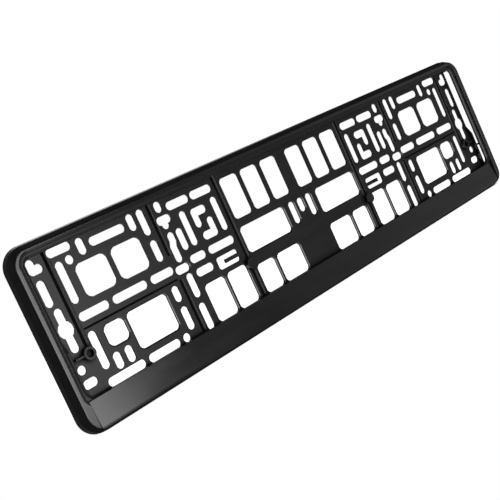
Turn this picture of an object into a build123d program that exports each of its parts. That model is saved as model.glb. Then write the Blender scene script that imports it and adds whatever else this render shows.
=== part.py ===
import os
from math import atan2, cos, degrees, radians, sin, tan

from build123d import *

os.makedirs("parts", exist_ok=True)

# A moulded holder for one long European number plate: a pierced base frame that is screwed
# to the car, and a lower strip that swings down on snap hinges to let the plate in.
# Millimetres. X runs to the right seen from the front, the front looks along -Y, Z is up.
# The origin is the middle of the back face, which lies against the car.

# The largest plate that the holder takes, and how much of each edge is covered
plate_width = 520.0
plate_height = 114.0
side_cover = 5.1
top_cover = 4.2
strip_cover = 4.9
plate_clearance = 0.3

# Depths that add up from the back face to the front of the rim
panel_thickness = 1.5
rest_rib_height = 3.7
plate_gap = 1.4
lip_thickness = 2.5
ledge_drop = 2.4

# The rim that frames the plate
rim_taper = 19.0
shoulder_depth = 5.0
shoulder_taper = 11.0
rim_wall = 2.2
back_corner_radius = 16.0
front_edge_radius = 1.6
side_land = 2.2
top_land = 0.6
band_slope_width = 2.0
band_slope_fall = 0.5
ledge_width = 3.4
ledge_slope_width = 1.8
ledge_slope_fall = 1.0
window_top_radius = 5.0
window_foot_radius = 8.0
stub_core_depth = 5.5

# The pierced panel behind the plate
slot_width = 6.6
window_radius = 4.0
keyhole_radius = 6.2
round_sides = 12
dish_width = 1.0
dish_depth = 0.36
side_gap_inset = 0.9
bridge_thickness = 1.6
rib_thickness = 1.6
short_rib_height = 3.0
tongue_width = 3.1
tongue_nub = 1.0

# Narrow V channels that let the panel bend, each with a low round bead along its inner edge
channel_width = 2.6
channel_floor = 0.2
channel_depth = 1.2
bead_gap = 0.4
bead_width = 1.5
bead_height = 0.3
step_width = 1.5
step_floor = 0.3
step_depth = 0.8

# Round bosses on the channels, where the melt enters the mould
boss_diameter = 9.5
boss_hole_diameter = 5.6
boss_hole_depth = 3.0

# The lower strip
strip_face = 21.1
strip_wall = 1.8
strip_setback = 0.3
strip_edge_radius = 1.4
strip_top_radius = 0.5
stub_cover = 2.1
strip_end_gap = 0.7
strip_top_gap = 0.2
rear_gap = 0.3

# Snap hinges along the strip's foot
pin_radius = 1.3
hinge_clearance = 0.2
knuckle_wall = 1.0
knuckle_inset = 0.2
knuckle_width = 12.0
knuckle_gap = 0.3
hinge_mouth = 2.0

# Clip blades on the strip, the forks that grip them, and the ledges that carry the plate
blade_thickness = 1.6
blade_drop = 3.0
fork_gap = 0.25
fork_height = 8.0
ledge_length = 12.0

# Depths worked out
rest_height = panel_thickness + rest_rib_height
lip_back = rest_height + plate_gap
lip_front = lip_back + lip_thickness
holder_depth = lip_front + ledge_drop

# Outline worked out from the plate and the rim
taper_angle = radians(rim_taper)
taper_slope = tan(taper_angle)
draft = holder_depth * taper_slope
shoulder_angle = radians(shoulder_taper)
shoulder_draft = shoulder_depth * tan(shoulder_angle)
front_taper = degrees(atan2(draft - shoulder_draft, holder_depth - shoulder_depth))
front_edge_reach = front_edge_radius * tan(radians((90 - front_taper) / 2))
rim_reach = ledge_width + band_slope_width + front_edge_reach + draft
side_margin = rim_reach + side_land - side_cover
top_margin = rim_reach + top_land - top_cover
foot_margin = strip_face + draft - strip_cover
holder_width = plate_width + 2 * side_margin
holder_height = plate_height + top_margin + foot_margin
plate_top = holder_height / 2 - top_margin
plate_foot = plate_top - plate_height
plate_middle = (plate_top + plate_foot) / 2
window_half = plate_width / 2 - side_cover
window_top = plate_top - top_cover
strip_top = plate_foot + strip_cover

# The strip fills the foot of the frame between two corner stubs. Its hinge lies where the roll
# touches both the back plane and the frame's tapered underside.
bay_half = window_half + stub_cover
bay_top = strip_top + strip_top_gap
strip_half = bay_half - strip_end_gap
knuckle_radius = pin_radius + hinge_clearance + knuckle_wall
roll_radius = knuckle_radius + knuckle_inset
hinge_y = -roll_radius
hinge_z = roll_radius * (tan(shoulder_angle) + 1 / cos(shoulder_angle)) - holder_height / 2
panel_foot = hinge_z + roll_radius + rear_gap

# The hole pattern is set out about the plate's middle for this plate, and stretches with it
pattern_width = 520.0
pattern_height = 114.0
across = plate_width / pattern_width
upward = plate_height / pattern_height
top_row = 45.2
middle_row = 0.4
bottom_row = -49.9
slot_top = 52.4
under_lip = 55.0

# Lines of the pattern that more than one feature shares
inner_channel = 77.2
field_channel = 144.0
end_channel = 236.9
end_boss = 238.0
boss_row = -24.0
bridge_row = -30.4
step_row = -7.7
tongue_row = -12.8

# Places along the strip
hinge_places = [x * across for x in (-198, -66, 66, 198)]
blade_places = [x * across for x in (-176, -88, 0, 88, 176)]
ledge_places = [x * across for x in (-238, -154, -66, 66, 154, 238)]


def spot(x, z):
    """A place on the panel, from the plate's middle."""
    return (x * across, z * upward)


def round_points(centre, radius, start, sweep):
    """Corners of a round with flat sides, which keep the mesh of the many lightening holes small."""
    step = 360 / round_sides
    reach = radius / cos(radians(step / 2))
    turns = [radians(start + step * (i + 0.5)) for i in range(round(sweep / step))]
    return [(centre[0] + reach * cos(turn), centre[1] + reach * sin(turn)) for turn in turns]


def slot_run(start, end):
    """A straight slot between the centres of its two ends."""
    turn = degrees(atan2(end[1] - start[1], end[0] - start[0]))
    near_end = round_points(start, slot_width / 2, turn + 90, 180)
    far_end = round_points(end, slot_width / 2, turn - 90, 180)
    Polygon(*near_end, *far_end, align=None)


def level_slot(x_from, x_to, z):
    """A slot that runs across, given by its two ends and its height."""
    left, height = spot(x_from, z)
    right = x_to * across
    slot_run((left + slot_width / 2, height), (right - slot_width / 2, height))


def upright_slot(x, z_from, z_to):
    """A slot that runs up, given by its place across and its two ends."""
    place, foot = spot(x, z_from)
    top = z_to * upward
    slot_run((place, foot + slot_width / 2), (place, top - slot_width / 2))


def bent_slot(*corners):
    """A slot whose middle line turns at the given corners."""
    places = [spot(*corner) for corner in corners]
    for start, end in zip(places, places[1:]):
        slot_run(start, end)


def screw_slot(x_from, x_to, z):
    """A slot with true round ends, for a screw of the usual mounting positions."""
    with Locations(spot((x_from + x_to) / 2, z)):
        SlotOverall((x_to - x_from) * across, slot_width)


def window(x_from, x_to, z_from, z_to, radius=window_radius):
    """A large opening with rounded corners."""
    left, foot = spot(x_from, z_from)
    right, top = spot(x_to, z_to)
    Polygon(
        *round_points((right - radius, top - radius), radius, 0, 90),
        *round_points((left + radius, top - radius), radius, 90, 90),
        *round_points((left + radius, foot + radius), radius, 180, 90),
        *round_points((right - radius, foot + radius), radius, 270, 90),
        align=None,
    )


def round_hole(x, z, radius=slot_width / 2):
    """A round hole, as wide as a slot unless a radius is given."""
    Polygon(*round_points(spot(x, z), radius, 0, 360), align=None)


def dished_holes():
    """The openings of the right half whose front edges are dished."""
    upright_slot(10.8, -13.9, 5.5)
    level_slot(131.0, 144.3, -2.4)
    window(20.6, 72.2, -16.9, 5.5)
    window(20.6, 48.4, -53.0, -28.1)
    window(51.7, 71.7, -53.0, -28.1)
    window(81.7, 102.5, -53.2, -21.9)
    window(105.6, 126.6, -53.2, -21.9)
    window(161.2, 198.6, -40.9, -12.0)
    window(201.7, 219.7, -28.7, -12.2, radius=5.0)


def middle_slot():
    """The one slot on the middle line."""
    upright_slot(0, -7.0, 5.3)


def channel_section(width, floor, depth):
    """The section of a V channel, cut from the surface at Y 0 towards +Y."""
    Polygon((-width / 2, 0), (width / 2, 0), (floor / 2, depth), (-floor / 2, depth), align=None)


def panel_plane(height):
    """The sketch plane at a height in front of the back face, centred on the plate's middle."""
    return Plane(origin=(0, -height, plate_middle), x_dir=(1, 0, 0), z_dir=(0, -1, 0))


def channel_plane(z):
    """The sketch plane across the upright channels, with Y 0 on the panel's front and +Y into it."""
    return Plane(origin=(0, -panel_thickness, plate_middle + z * upward), x_dir=(1, 0, 0), z_dir=(0, 0, 1))


def cross_planes(places, width):
    """Sketch planes across the strip's length, half a width before each place."""
    return [Plane.YZ.offset(x - width / 2) for x in places]


# The holes of the right half, in four fields from the middle to the end
with BuildSketch(panel_plane(0)) as holes:
    dished_holes()
    # Middle field
    for x_from, x_to in ((5.9, 24.9), (29.0, 48.2), (51.8, 71.6)):
        window(x_from, x_to, 12.6, 47.8, radius=3.7)
    # Inner field
    level_slot(81.2, 103.7, top_row)
    level_slot(105.4, 128.0, top_row)
    level_slot(81.1, 108.8, middle_row)
    level_slot(112.0, 128.0, middle_row)
    level_slot(110.2, 127.9, -11.0)
    upright_slot(84.4, 9.2, 37.7)
    upright_slot(117.2, 9.2, 37.7)
    upright_slot(126.5, 9.2, 27.0)
    upright_slot(135.0, 43.7, slot_top)
    upright_slot(134.9, -27.4, -7.6)
    upright_slot(135.8, -54.2, -32.3)
    level_slot(127.9, 141.6, 37.4)
    bent_slot((135.0, 37.4), (135.0, 33.4))
    bent_slot((135.0, 23.7), (135.0, 19.8), (136.6, 15.8), (136.6, 6.2))
    bent_slot((97.3, 32.4), (106.4, 32.4), (106.4, 23.4))
    bent_slot((95.1, 21.4), (95.1, 12.2), (104.3, 12.2))
    window(83.8, 106.1, -17.6, -7.5, radius=2.5)
    # Outer field
    screw_slot(168.5, 200.5, top_row)
    level_slot(214.6, 234.6, 49.8)
    level_slot(145.6, 167.7, middle_row)
    screw_slot(171.2, 203.1, middle_row)
    level_slot(206.5, 232.5, middle_row)
    screw_slot(166.6, 196.6, bottom_row)
    level_slot(200.1, 233.6, bottom_row)
    upright_slot(152.0, 31.7, slot_top)
    upright_slot(161.8, 39.4, slot_top)
    upright_slot(151.9, 10.0, 27.1)
    upright_slot(207.5, 39.3, 51.7)
    upright_slot(229.1, 10.6, 42.3)
    upright_slot(229.2, -40.1, -11.1)
    upright_slot(151.9, -23.5, -11.0)
    upright_slot(152.0, -46.6, -27.9)
    upright_slot(208.4, -45.1, -32.6)
    upright_slot(218.9, -45.1, -32.6)
    window(161.4, 188.6, 9.9, 35.2, radius=5.5)
    window(192.4, 219.6, 9.9, 35.2, radius=5.5)
    round_hole(220.0, 40.3)
    round_hole(160.0, bottom_row)
    # End field
    bent_slot((243.9, 43.7), (248.5, 43.7), (248.5, 48.4))
    upright_slot(247.6, 16.0, 35.9)
    upright_slot(245.0, -19.6, 13.5)
    round_hole(245.0, -2.5, keyhole_radius)
    round_hole(247.5, -32.2)
    level_slot(239.8, 251.4, -42.9)
    mirror(about=Plane.YZ)
    middle_slot()

# The outer form that both pieces share: a shallow block that narrows to the front, more so past its shoulder
with BuildPart() as outer_form:
    with BuildSketch(Plane.XZ):
        RectangleRounded(holder_width, holder_height, back_corner_radius)
    extrude(amount=shoulder_depth, taper=shoulder_taper)
    shoulder_face = outer_form.faces().sort_by(Axis.Y)[0]
    extrude(shoulder_face, amount=holder_depth - shoulder_depth, taper=front_taper)

# Base frame: one moulding with the panel, the rim, its lips, the ribs and half of each hinge
with BuildPart() as base_frame:
    # The outer form with a rounded front edge
    add(outer_form.part)
    front_face = base_frame.faces().sort_by(Axis.Y)[0]
    fillet(front_face.outer_wire().edges(), radius=front_edge_radius)

    # The front opening down to the ledge, with the band in front sloped towards it
    opening_half = window_half + ledge_width
    opening_top = window_top + ledge_width
    opening_foot = strip_top - ledge_width
    with BuildSketch(Plane.XZ.offset(lip_front)):
        with Locations((0, (opening_top + opening_foot) / 2)):
            RectangleRounded(2 * opening_half, opening_top - opening_foot, window_foot_radius)
    extrude(amount=holder_depth, mode=Mode.SUBTRACT)
    front_face = base_frame.faces().sort_by(Axis.Y)[0]
    chamfer(
        front_face.inner_wires().edges(),
        length=band_slope_width,
        length2=band_slope_fall,
        reference=front_face,
    )

    # The window that shows the plate, with the ledge sloped down to the lip's edge
    with BuildSketch(Plane.XZ.offset(panel_thickness)) as sight:
        with Locations((0, (window_top + bay_top) / 2)):
            Rectangle(2 * window_half, window_top - bay_top)
        fillet(sight.vertices().group_by(Axis.Y)[-1], radius=window_top_radius)
        fillet(sight.vertices().group_by(Axis.Y)[0], radius=window_foot_radius)
    extrude(amount=holder_depth, mode=Mode.SUBTRACT)
    ledge_faces = base_frame.faces().filter_by(Axis.Y)
    ledge_face = ledge_faces.filter_by_position(Axis.Y, -lip_front - 0.01, -lip_front + 0.01)[0]
    chamfer(
        ledge_face.inner_wires().edges(),
        length=ledge_slope_width,
        length2=ledge_slope_fall,
        reference=ledge_face,
    )

    # The pocket under the lips that takes the edges of the plate
    pocket_inset = rim_wall + panel_thickness * taper_slope
    pocket_half = holder_width / 2 - pocket_inset
    pocket_top = holder_height / 2 - pocket_inset
    pocket_foot = plate_foot - plate_clearance
    with BuildSketch(Plane.XZ.offset(panel_thickness)):
        with Locations((0, (pocket_top + pocket_foot) / 2)):
            RectangleRounded(2 * pocket_half, pocket_top - pocket_foot, back_corner_radius - pocket_inset)
    extrude(amount=lip_back - panel_thickness, taper=rim_taper, mode=Mode.SUBTRACT)

    # The bay for the strip, cut through the rim, and the panel's foot behind it
    for height, top in ((panel_thickness, bay_top), (0, panel_foot)):
        with BuildSketch(Plane.XZ.offset(height)):
            with Locations((0, top)):
                Rectangle(2 * bay_half, holder_height, align=(Align.CENTER, Align.MAX))
        extrude(amount=2 * holder_depth, mode=Mode.SUBTRACT)

    # The corner stubs, cored out from behind
    for side, edge in ((-1, Align.MAX), (1, Align.MIN)):
        with BuildSketch(Plane.XZ):
            RectangleRounded(
                holder_width - 2 * rim_wall,
                holder_height - 2 * rim_wall,
                back_corner_radius - rim_wall,
            )
            with Locations((side * (bay_half + rim_wall), pocket_foot - rim_wall)):
                Rectangle(holder_width, holder_height, align=(edge, Align.MAX), mode=Mode.INTERSECT)
        extrude(amount=stub_core_depth, taper=rim_taper, mode=Mode.SUBTRACT)

    # Long gaps beside the panel, where the mould closes to form the side lips
    gap_inner = window_half - side_gap_inset
    gap_foot = bay_top + rib_thickness
    gap_top = window_top - side_gap_inset
    bridge = plate_middle + bridge_row * upward
    gap_spans = ((gap_foot, bridge - bridge_thickness / 2), (bridge + bridge_thickness / 2, gap_top))
    with BuildSketch(Plane.XZ):
        for z_from, z_to in gap_spans:
            with Locations(((gap_inner + pocket_half) / 2, (z_from + z_to) / 2)):
                Rectangle(pocket_half - gap_inner, z_to - z_from)
        mirror(about=Plane.YZ)
    extrude(amount=panel_thickness, mode=Mode.SUBTRACT)

    # The channels, their beads, and the fine line across the outer fields
    channel_spans = (
        (inner_channel, -53.0, under_lip),
        (field_channel, -53.0, -8.7),
        (field_channel, 11.3, under_lip),
        (end_channel, boss_row, under_lip),
    )
    bead_radius = (bead_width**2 / 4 + bead_height**2) / (2 * bead_height)
    for x, z_from, z_to in channel_spans:
        with BuildSketch(channel_plane(z_from)):
            with Locations((x * across, 0)):
                channel_section(channel_width, channel_floor, channel_depth)
            mirror(about=Plane.YZ)
        extrude(amount=(z_to - z_from) * upward, mode=Mode.SUBTRACT)
        bead_x = x * across - (channel_width + bead_width) / 2 - bead_gap
        with BuildSketch(channel_plane(z_from)):
            with Locations((bead_x, bead_radius - bead_height)):
                Circle(bead_radius)
            with Locations((bead_x, 0)):
                Rectangle(bead_width, 2 * bead_height, mode=Mode.INTERSECT)
            mirror(about=Plane.YZ)
        extrude(amount=(z_to - z_from) * upward)
    step_from, step_to = (x * across for x in (146.0, 233.0))
    for side in (-1, 1):
        with BuildSketch(Plane.YZ.offset(side * step_from)):
            with Locations(Location((-panel_thickness, plate_middle + step_row * upward), -90)):
                channel_section(step_width, step_floor, step_depth)
        extrude(amount=side * (step_to - step_from), mode=Mode.SUBTRACT)

    # The pattern of holes, and the dished edges of some
    extrude(holes.sketch, amount=lip_back, mode=Mode.SUBTRACT)
    with BuildSketch(panel_plane(panel_thickness - dish_depth)):
        dished_holes()
        mirror(about=Plane.YZ)
        middle_slot()
    extrude(amount=dish_depth, taper=-degrees(atan2(dish_width, dish_depth)), mode=Mode.SUBTRACT)

    # Snap tongues in the inner fields, each with a nub at its tip
    tongue_foot, tongue_tip, nub_foot = (x * across for x in (82.0, 98.5, 95.0))
    for x_from, height in ((tongue_foot, panel_thickness), (nub_foot, panel_thickness + tongue_nub)):
        with BuildSketch(panel_plane(0)):
            with Locations(((x_from + tongue_tip) / 2, tongue_row * upward)):
                Rectangle(tongue_tip - x_from, tongue_width)
            mirror(about=Plane.YZ)
        extrude(amount=height)

    # Bosses on the channels, with a blind hole in each end boss
    end_boss_x = end_boss * across
    with BuildSketch(panel_plane(0)):
        with Locations(spot(inner_channel, boss_row), (end_boss_x, boss_row * upward)):
            Circle(boss_diameter / 2)
        mirror(about=Plane.YZ)
    extrude(amount=rest_height)
    with BuildSketch(panel_plane(rest_height)):
        round_hole(end_boss, boss_row, boss_hole_diameter / 2)
        mirror(about=Plane.YZ)
    extrude(amount=-boss_hole_depth, mode=Mode.SUBTRACT)

    # Edge ribs that the plate rests on, ramped at the top, tied to the end bosses by short ribs
    rib_x = gap_inner - rib_thickness
    rib_full = plate_middle - 16.7 * upward
    rib_end = plate_middle - 8.7 * upward
    for side in (-1, 1):
        with BuildSketch(Plane.YZ.offset(side * rib_x)):
            Polygon(
                (-panel_thickness, gap_foot),
                (-rest_height, gap_foot),
                (-rest_height, rib_full),
                (-panel_thickness, rib_end),
                align=None,
            )
        extrude(amount=side * rib_thickness)
    with BuildSketch(panel_plane(panel_thickness)):
        with Locations(((end_boss_x + rib_x) / 2, boss_row * upward)):
            Rectangle(rib_x - end_boss_x - boss_hole_diameter, rib_thickness)
        mirror(about=Plane.YZ)
    extrude(amount=short_rib_height)

    # Ledges under the plate, and forks that grip the strip's blades
    fork_offset = (blade_thickness + rib_thickness) / 2 + fork_gap
    fork_places = [x + step for x in blade_places for step in (-fork_offset, fork_offset)]
    with BuildSketch(Plane.XZ.offset(panel_thickness)):
        with Locations([(x, pocket_foot) for x in ledge_places]):
            Rectangle(ledge_length, rib_thickness, align=(Align.CENTER, Align.MAX))
        with Locations([(x, pocket_foot - blade_drop) for x in fork_places]):
            Rectangle(rib_thickness, fork_height, align=(Align.CENTER, Align.MAX))
    extrude(amount=rest_rib_height)

    # Hinge knuckles below the panel, open at the front so that the pin snaps in
    with BuildSketch(*cross_planes(hinge_places, knuckle_width)):
        with Locations((hinge_y, hinge_z)):
            Circle(knuckle_radius)
        with Locations((0, hinge_z)):
            Rectangle(panel_thickness, panel_foot - hinge_z, align=(Align.MAX, Align.MIN))
        with Locations((hinge_y, hinge_z)):
            Circle(pin_radius + hinge_clearance, mode=Mode.SUBTRACT)
            Rectangle(2 * knuckle_radius, hinge_mouth, align=(Align.MAX, Align.CENTER), mode=Mode.SUBTRACT)
    extrude(amount=knuckle_width)
base_frame.part.label = "base_frame"
export_step(base_frame.part, "parts/base_frame.step")

# Lower strip: a bent wall from the front down to a round roll along the foot, with end blades
with BuildPart() as lower_strip:
    # The bent wall and the roll, its underside in line with the frame's
    half_wall = strip_wall / 2
    roll_offset = roll_radius - half_wall
    top_point = (half_wall - lip_front, strip_top)
    foot_point = (hinge_y - roll_offset * sin(shoulder_angle), hinge_z - roll_offset * cos(shoulder_angle))
    front_angle = radians(front_taper)
    mean_angle = (shoulder_angle + front_angle) / 2
    inset = half_wall / cos(front_angle - mean_angle)
    shoulder_point = (
        inset * sin(mean_angle) - shoulder_depth,
        inset * cos(mean_angle) + shoulder_draft - holder_height / 2,
    )
    edge_y = half_wall + strip_setback - holder_depth
    edge_point = (edge_y, shoulder_point[1] + (shoulder_point[0] - edge_y) * tan(front_angle))
    with BuildSketch(Plane.YZ.offset(-strip_half)):
        with BuildLine() as bend:
            FilletPolyline(top_point, edge_point, shoulder_point, foot_point, radius=strip_edge_radius)
        trace(bend.line, line_width=strip_wall)
        with Locations((hinge_y, hinge_z)):
            Circle(roll_radius)
    extrude(amount=2 * strip_half)
    top_edges = lower_strip.edges().filter_by(Axis.X).group_by(Axis.Z)[-1]
    fillet(top_edges, radius=strip_top_radius)
    add(outer_form.part, mode=Mode.INTERSECT)

    # Blades that enter the forks, and one that closes each end
    end_blade = strip_half - blade_thickness / 2
    rear_y = -panel_thickness - rear_gap
    blade_top = pocket_foot - blade_drop
    slope = (edge_point[0] - top_point[0]) / (edge_point[1] - top_point[1])
    with BuildSketch(*cross_planes([-end_blade, *blade_places, end_blade], blade_thickness)):
        Polygon(
            (rear_y, blade_top),
            (top_point[0] + slope * (blade_top - top_point[1]), blade_top),
            edge_point,
            shoulder_point,
            (rear_y, panel_foot + rib_thickness),
            align=None,
        )
    extrude(amount=blade_thickness)

    # Room for the knuckles, with the pin left across each one
    with BuildSketch(*cross_planes(hinge_places, knuckle_width + 2 * knuckle_gap)):
        with Locations((hinge_y, hinge_z)):
            Circle(roll_radius + hinge_clearance)
    extrude(amount=knuckle_width + 2 * knuckle_gap, mode=Mode.SUBTRACT)
    with BuildSketch(Plane.YZ.offset(-strip_half)):
        with Locations((hinge_y, hinge_z)):
            Circle(pin_radius)
    extrude(amount=2 * strip_half)
lower_strip.part.label = "lower_strip"
export_step(lower_strip.part, "parts/lower_strip.step")
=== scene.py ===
from math import cos, radians

import bpy
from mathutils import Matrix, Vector


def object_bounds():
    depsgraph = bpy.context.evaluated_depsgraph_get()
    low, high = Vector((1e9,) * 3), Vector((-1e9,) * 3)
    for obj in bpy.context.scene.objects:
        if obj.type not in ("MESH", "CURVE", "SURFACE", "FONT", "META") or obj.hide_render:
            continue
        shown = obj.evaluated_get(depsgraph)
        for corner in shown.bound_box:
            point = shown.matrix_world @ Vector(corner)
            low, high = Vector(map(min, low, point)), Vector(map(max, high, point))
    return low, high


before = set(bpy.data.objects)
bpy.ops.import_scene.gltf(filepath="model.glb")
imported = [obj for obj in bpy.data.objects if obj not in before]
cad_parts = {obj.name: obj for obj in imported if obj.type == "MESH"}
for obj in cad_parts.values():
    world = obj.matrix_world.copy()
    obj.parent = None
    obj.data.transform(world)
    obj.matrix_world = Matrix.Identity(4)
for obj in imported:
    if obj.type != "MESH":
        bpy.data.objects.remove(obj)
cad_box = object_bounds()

# Base frame: the pierced panel with its rim, lips, ribs and hinge knuckles.
# Black polypropylene, injection moulded in one shot against a mould that is polished at the rim
# and finely eroded behind it, and screwed to the car through the slots.
MM = 0.001
shading_limit = radians(25)


def linear(hex_colour):
    """An sRGB hex colour as linear red, green, blue and alpha."""
    parts = [int(hex_colour[i:i + 2], 16) / 255 for i in (1, 3, 5)]
    return [p / 12.92 if p <= 0.04045 else ((p + 0.055) / 1.055) ** 2.4 for p in parts] + [1.0]


def add_node(tree, kind, settings=(), values=(), links=()):
    """A node with its settings, its socket values and the sockets that feed it."""
    node = tree.nodes.new(kind)
    for name, value in dict(settings).items():
        setattr(node, name, value)
    for name, value in dict(values).items():
        node.inputs[name].default_value = value
    for name, source in dict(links).items():
        tree.links.new(source, node.inputs[name])
    return node


def smooth_rounds(piece):
    """Shades the rounded faces smoothly and keeps the edges between flat faces sharp."""
    mesh = piece.data
    mesh.shade_smooth()
    mesh.set_sharp_from_angle(angle=shading_limit)


# Moulded polypropylene: black that shows soft patches of slightly different grey and gloss, where the
# melt left streaks along its flow, with edges that are a little round and so catch the light.
# The real grain is about 0.1 mm, too fine to show here, so it is drawn coarser.
plastic_dark, plastic_pale = "#0c0c0c", "#121212"
plastic_ior = 1.49
flow_length = 60.0 * MM
flow_width = 9.0 * MM
flow_detail = 4.0
flow_breakup = 0.6
dark_streak, pale_streak = 0.35, 0.65
keen_streak, dull_streak = 0.3, 0.7
grain_size = 0.9 * MM
grain_height = 0.004 * MM
grain_detail = 2.0
grain_breakup = 0.5
grain_strength = 0.6
edge_round = 0.35 * MM
edge_samples = 8


def moulded_polypropylene(name, keen, dull):
    """Black polypropylene whose roughness lies between keen and dull."""
    material = bpy.data.materials.new(name)
    material.use_nodes = True
    tree = material.node_tree
    shader = tree.nodes["Principled BSDF"]
    place = add_node(tree, "ShaderNodeTexCoord").outputs["Object"]
    stretched = add_node(
        tree, "ShaderNodeMapping",
        values={"Scale": (1 / flow_length, 1 / flow_width, 1 / flow_width)},
        links={"Vector": place},
    ).outputs["Vector"]
    flow = add_node(
        tree, "ShaderNodeTexNoise",
        values={"Scale": 1.0, "Detail": flow_detail, "Roughness": flow_breakup},
        links={"Vector": stretched},
    ).outputs["Fac"]
    grain = add_node(
        tree, "ShaderNodeTexNoise",
        values={"Scale": 1 / grain_size, "Detail": grain_detail, "Roughness": grain_breakup},
        links={"Vector": place},
    ).outputs["Fac"]
    streaks = add_node(tree, "ShaderNodeValToRGB", links={"Fac": flow})
    dark_stop, pale_stop = streaks.color_ramp.elements
    dark_stop.position = dark_streak
    dark_stop.color = linear(plastic_dark)
    pale_stop.position = pale_streak
    pale_stop.color = linear(plastic_pale)
    gloss = add_node(
        tree, "ShaderNodeMapRange",
        values={"From Min": keen_streak, "From Max": dull_streak, "To Min": keen, "To Max": dull},
        links={"Value": flow},
    ).outputs["Result"]
    rounded = add_node(
        tree, "ShaderNodeBevel", {"samples": edge_samples}, {"Radius": edge_round},
    ).outputs["Normal"]
    bump = add_node(
        tree, "ShaderNodeBump",
        values={"Strength": grain_strength, "Distance": grain_height},
        links={"Height": grain, "Normal": rounded},
    ).outputs["Normal"]
    tree.links.new(streaks.outputs["Color"], shader.inputs["Base Color"])
    tree.links.new(gloss, shader.inputs["Roughness"])
    tree.links.new(bump, shader.inputs["Normal"])
    shader.inputs["IOR"].default_value = plastic_ior
    return material


# Eroded mould: what looks forward behind the rim's front, such as the panel, its rests and the ledges,
# comes out of a spark-eroded part of the mould, so it is duller and sends back less of the light.
# Blind holes and inner corners send back less still, and the walls of the channels none: this is painted
# shade, taken out of the gloss by an occlusion node in the recesses and by a mask on the channel walls.
rim_front = cad_box[0].y
panel_front = -1.5 * MM
band_depth = 0.3 * MM
ledge_depth = 4.1 * MM
dish_start = 0.01 * MM
channel_start, channel_end = 0.38 * MM, 1.38 * MM
zone_depths = {
    "eroded": (rim_front + band_depth, panel_front + dish_start),
    "ledge": (rim_front + band_depth, rim_front + ledge_depth),
    "channel": (panel_front + channel_start, panel_front + channel_end),
}
turned_away, turned_forward = -0.6, -0.7
# The channel walls, which get painted shade, face sideways beyond this slope.
channel_slope = -0.25
added_roughness = 0.12
polished_shine, eroded_shine = 0.5, 0.30
# Painted shade in the recesses: how far the occlusion node looks, how steeply it darkens the gloss, and
# its samples.
painted_shade_reach = 3.5 * MM
painted_shade_power = 3.0
painted_shade_samples = 8
step_round = 1.0 * MM


def erode_and_paint_recess_shade(material):
    """Dulls a material where the mould is eroded, paints shade into its recesses and channels by taking
    away gloss, and rounds the step inside the rim softly.
    """
    tree = material.node_tree
    shader = tree.nodes["Principled BSDF"]
    gloss = shader.inputs["Roughness"].links[0].from_socket
    coordinates = add_node(tree, "ShaderNodeTexCoord").outputs
    depth = add_node(
        tree, "ShaderNodeSeparateXYZ", links={"Vector": coordinates["Object"]},
    ).outputs["Y"]
    facing = add_node(
        tree, "ShaderNodeSeparateXYZ", links={"Vector": coordinates["Normal"]},
    ).outputs["Y"]
    zones = {}
    for zone, (front, back) in zone_depths.items():
        zones[zone] = add_node(
            tree, "ShaderNodeMath", {"operation": "COMPARE"},
            {1: (front + back) / 2, 2: (back - front) / 2}, {0: depth},
        ).outputs["Value"]

    # The eroded faces: rougher, and less of the light comes back
    open_front = add_node(
        tree, "ShaderNodeMapRange",
        values={"From Min": turned_away, "From Max": turned_forward},
        links={"Value": facing},
    ).outputs["Result"]
    eroded = add_node(
        tree, "ShaderNodeMath", {"operation": "MULTIPLY"}, links={0: open_front, 1: zones["eroded"]},
    ).outputs["Value"]
    roughness = add_node(
        tree, "ShaderNodeMath", {"operation": "MULTIPLY_ADD"}, {1: added_roughness}, {0: eroded, 2: gloss},
    ).outputs["Value"]
    shine = add_node(
        tree, "ShaderNodeMapRange",
        values={"To Min": polished_shine, "To Max": eroded_shine},
        links={"Value": eroded},
    ).outputs["Result"]

    # Painted shade: the recesses, apart from the ledges, and the walls of the channels lose their gloss
    painted_shade_ao = add_node(
        tree, "ShaderNodeAmbientOcclusion",
        {"samples": painted_shade_samples, "only_local": True}, {"Distance": painted_shade_reach},
    ).outputs["AO"]
    painted_shade_factor = add_node(
        tree, "ShaderNodeMath", {"operation": "POWER"}, {1: painted_shade_power}, {0: painted_shade_ao},
    ).outputs["Value"]
    painted_shade_off_ledges = add_node(
        tree, "ShaderNodeMath", {"operation": "MAXIMUM"}, links={0: painted_shade_factor, 1: zones["ledge"]},
    ).outputs["Value"]
    # Painted shade on the channel walls: their gloss is set to none.
    painted_shade_walls = add_node(
        tree, "ShaderNodeMath", {"operation": "LESS_THAN"}, {1: channel_slope}, {0: facing},
    ).outputs["Value"]
    channel = add_node(
        tree, "ShaderNodeMath", {"operation": "MULTIPLY"}, links={0: zones["channel"], 1: painted_shade_walls},
    ).outputs["Value"]
    clear = add_node(
        tree, "ShaderNodeMath", {"operation": "SUBTRACT"}, {0: 1.0}, {1: channel},
    ).outputs["Value"]
    shine_with_painted_channel_shade = add_node(
        tree, "ShaderNodeMath", {"operation": "MULTIPLY"}, links={0: shine, 1: clear},
    ).outputs["Value"]
    shine_with_painted_shade = add_node(
        tree, "ShaderNodeMath", {"operation": "MULTIPLY"}, links={0: shine_with_painted_channel_shade, 1: painted_shade_off_ledges},
    ).outputs["Value"]

    # The step inside the rim, which runs out softly
    softness = add_node(
        tree, "ShaderNodeMapRange",
        values={"To Min": edge_round, "To Max": step_round},
        links={"Value": zones["ledge"]},
    ).outputs["Result"]
    tree.links.new(softness, tree.nodes["Bevel"].inputs["Radius"])
    tree.links.new(roughness, shader.inputs["Roughness"])
    # The gloss, with painted shade in the recesses and on the channel walls.
    tree.links.new(shine_with_painted_shade, shader.inputs["Specular IOR Level"])


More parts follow.
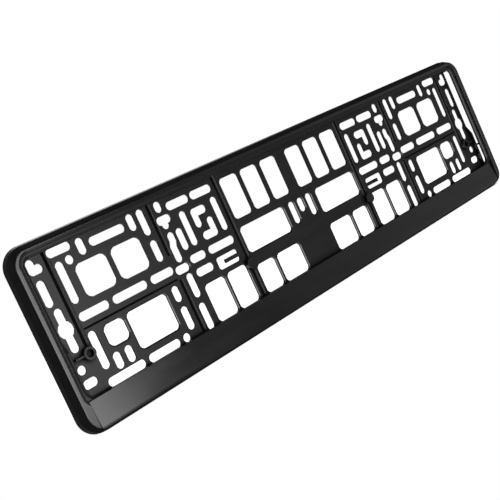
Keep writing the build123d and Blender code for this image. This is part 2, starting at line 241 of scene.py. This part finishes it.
base_keen, base_dull = 0.19, 0.23
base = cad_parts["base_frame"]
smooth_rounds(base)
base.data.materials.clear()
fine_grain = moulded_polypropylene("moulded_polypropylene_fine_grain", base_keen, base_dull)
erode_and_paint_recess_shade(fine_grain)
base.data.materials.append(fine_grain)

# Lower strip: the bar that covers the plate's lower edge and swings down to let it in.
# The same black polypropylene, moulded against a smoother face, and snapped on to the frame
# by the pins along its foot.
strip_keen, strip_dull = 0.17, 0.21
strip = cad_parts["lower_strip"]
smooth_rounds(strip)
strip.data.materials.clear()
strip.data.materials.append(
    moulded_polypropylene("moulded_polypropylene_satin", strip_keen, strip_dull)
)

# Floor: a sheet of white paper under the holder and behind it, out of the strip's way when it swings.
# The camera sees it as white where nothing shades it, and the holder's shadow stays on it; close to the
# holder its glow is darkened by an occlusion node, a painted contact shadow.
paper_left, paper_right = -0.25, 0.55
paper_front, paper_back = -0.004, 0.60
paper_white, light_white = "#f2f2f2", "#ffffff"
paper_lift = 0.86
# Painted shadow on the paper: how far the occlusion node darkens the glow near the holder, and its
# samples.
painted_shadow_reach = 12 * MM
painted_shadow_samples = 16
lowest = cad_box[0].z
floor_mesh = bpy.data.meshes.new("floor")
floor_corners = [
    (paper_left, paper_front, lowest),
    (paper_right, paper_front, lowest),
    (paper_right, paper_back, lowest),
    (paper_left, paper_back, lowest),
]
floor_mesh.from_pydata(floor_corners, [], [(0, 1, 2, 3)])
floor = bpy.data.objects.new("floor", floor_mesh)
bpy.context.scene.collection.objects.link(floor)
paper = bpy.data.materials.new("white_paper")
paper.use_nodes = True
paper_tree = paper.node_tree
paper_tree.nodes.clear()
paper_rays = add_node(paper_tree, "ShaderNodeLightPath").outputs
paper_mirrored = add_node(
    paper_tree, "ShaderNodeMath", {"operation": "MAXIMUM"},
    links={0: paper_rays["Is Glossy Ray"], 1: paper_rays["Is Transmission Ray"]},
).outputs["Value"]
paper_seen = add_node(
    paper_tree, "ShaderNodeMath", {"operation": "MAXIMUM"},
    links={0: paper_rays["Is Camera Ray"], 1: paper_mirrored},
).outputs["Value"]
# Painted shadow: the glow is darkened near the holder by an occlusion node.
paper_painted_shadow = add_node(
    paper_tree, "ShaderNodeAmbientOcclusion", {"samples": painted_shadow_samples}, {"Distance": painted_shadow_reach},
).outputs["AO"]
paper_glow_with_painted_shadow = add_node(
    paper_tree, "ShaderNodeMath", {"operation": "MULTIPLY"}, {1: paper_lift}, {0: paper_painted_shadow},
).outputs["Value"]
paper_shown_glow_and_painted_shadow = add_node(
    paper_tree, "ShaderNodeMath", {"operation": "MULTIPLY"}, links={0: paper_seen, 1: paper_glow_with_painted_shadow},
).outputs["Value"]
matt = add_node(
    paper_tree, "ShaderNodeBsdfDiffuse", values={"Color": linear(paper_white)},
).outputs["BSDF"]
lift = add_node(
    paper_tree, "ShaderNodeEmission",
    values={"Color": linear(light_white)},
    links={"Strength": paper_shown_glow_and_painted_shadow},
).outputs["Emission"]
lifted = add_node(paper_tree, "ShaderNodeAddShader", links={0: matt, 1: lift}).outputs["Shader"]
add_node(paper_tree, "ShaderNodeOutputMaterial", links={"Surface": lifted})
floor_mesh.materials.append(paper)

# Studio: a dark room with lighter sides at the back left, the front right, the front left and the lower
# right, where a table throws light up, and with a white backdrop behind. The camera sees white all
# round, and gloss shows the backdrop where it hangs.
room_level = 0.02
back_left = {"side": (-0.5, 0.866, 0.0), "edge": 72, "core": 25, "level": 0.14}
front_right = {"side": (0.88, -0.475, 0.0), "edge": 34, "core": 4, "level": 0.40}
front_left = {"side": (-0.588, -0.806, -0.06), "edge": 24, "core": 6, "level": 0.5}
lower_right = {"side": (0.74, -0.34, -0.58), "edge": 36, "core": 8, "level": 0.25}
hung_cloth = {"side": (0.306, 0.942, 0.139), "edge": 32, "core": 12, "level": 1.0}
world = bpy.data.worlds.new("studio")
bpy.context.scene.world = world
world.use_nodes = True
world_tree = world.node_tree
world_tree.nodes.clear()
rays = add_node(world_tree, "ShaderNodeLightPath").outputs
ray_way = add_node(world_tree, "ShaderNodeTexCoord").outputs["Generated"]


def patch(side, edge, core, level):
    """A round patch about a direction, from nothing at its edge to its level at its core, in degrees."""
    nearness = add_node(
        world_tree, "ShaderNodeVectorMath", {"operation": "DOT_PRODUCT"},
        {1: Vector(side).normalized()}, {0: ray_way},
    ).outputs["Value"]
    return add_node(
        world_tree, "ShaderNodeMapRange", {"interpolation_type": "SMOOTHSTEP"},
        {"From Min": cos(radians(edge)), "From Max": cos(radians(core)), "To Max": level},
        {"Value": nearness},
    ).outputs["Result"]


room_light = add_node(
    world_tree, "ShaderNodeMath", {"operation": "ADD"}, {0: room_level}, {1: patch(**back_left)},
).outputs["Value"]
for lighter_side in (front_right, front_left, lower_right):
    room_light = add_node(
        world_tree, "ShaderNodeMath", {"operation": "ADD"},
        links={0: room_light, 1: patch(**lighter_side)},
    ).outputs["Value"]
room = add_node(
    world_tree, "ShaderNodeBackground",
    values={"Color": linear(light_white)},
    links={"Strength": room_light},
).outputs["Background"]
backdrop = add_node(
    world_tree, "ShaderNodeBackground", values={"Color": linear(light_white), "Strength": 1.0},
).outputs["Background"]
clear_rays = add_node(
    world_tree, "ShaderNodeMath", {"operation": "MAXIMUM"},
    links={0: rays["Is Glossy Ray"], 1: rays["Is Transmission Ray"]},
).outputs["Value"]
mirrored_cloth = add_node(
    world_tree, "ShaderNodeMath", {"operation": "MULTIPLY"},
    links={0: clear_rays, 1: patch(**hung_cloth)},
).outputs["Value"]
shown = add_node(
    world_tree, "ShaderNodeMath", {"operation": "MAXIMUM"},
    links={0: rays["Is Camera Ray"], 1: mirrored_cloth},
).outputs["Value"]
surround = add_node(
    world_tree, "ShaderNodeMixShader", links={0: shown, 1: room, 2: backdrop},
).outputs["Shader"]
add_node(world_tree, "ShaderNodeOutputWorld", links={"Surface": surround})

# Lamps: a soft box square in front, a larger one low in line with it, and a small one overhead.
# They are cloth-fronted boxes on stands. Gloss shows the two in front and not the one overhead.
boxes_across = 0.344
boxes_width = 3.58
front_height = -0.36


def soft_box(name, place, target, width, height, power, mirrored=True):
    """A rectangular lamp at a place, turned to a target, that gloss shows unless it isn't mirrored."""
    lamp = bpy.data.lights.new(name, "AREA")
    lamp.shape = "RECTANGLE"
    lamp.size = width
    lamp.size_y = height
    lamp.energy = power
    box = bpy.data.objects.new(name, lamp)
    box.location = place
    box.rotation_mode = "QUATERNION"
    box.rotation_quaternion = (Vector(target) - Vector(place)).to_track_quat("-Z", "Y")
    box.visible_camera = False
    box.visible_glossy = mirrored
    bpy.context.scene.collection.objects.link(box)


soft_box(
    "front_soft_box",
    place=(boxes_across, -5.0, front_height), target=(boxes_across, 0.0, front_height),
    width=boxes_width, height=1.58, power=118.0,
)
soft_box(
    "low_soft_box",
    place=(boxes_across, -3.83, -3.21), target=(boxes_across, 0.0, 0.0),
    width=boxes_width, height=5.1, power=125.0,
)
soft_box(
    "overhead_soft_box",
    place=(-0.2, -1.0, 1.3), target=(0.0, 0.0, 0.0),
    width=0.8, height=0.6, power=22.0, mirrored=False,
)

# Camera: stands to the left in front of the holder, low and rolled, as in the photograph.
# Its place, turn and focal length were solved from the hole pattern.
camera_place = Vector((-494.644, -550.481, 55.397)) * MM
camera_tilt = radians(84.2976)
camera_roll = radians(24.3681)
camera_heading = radians(-39.9847)
focal_pixels = 859.08
frame_pixels = 500.0
sensor_width = 36.0
nearest_seen = 0.01
lens = bpy.data.cameras.new("camera")
lens.sensor_width = sensor_width
lens.lens = sensor_width * focal_pixels / frame_pixels
lens.clip_start = nearest_seen
camera = bpy.data.objects.new("camera", lens)
camera.location = camera_place
camera.rotation_euler = (camera_tilt, camera_roll, camera_heading)
bpy.context.scene.collection.objects.link(camera)
bpy.context.scene.camera = camera
bpy.context.scene.view_settings.view_transform = "Standard"
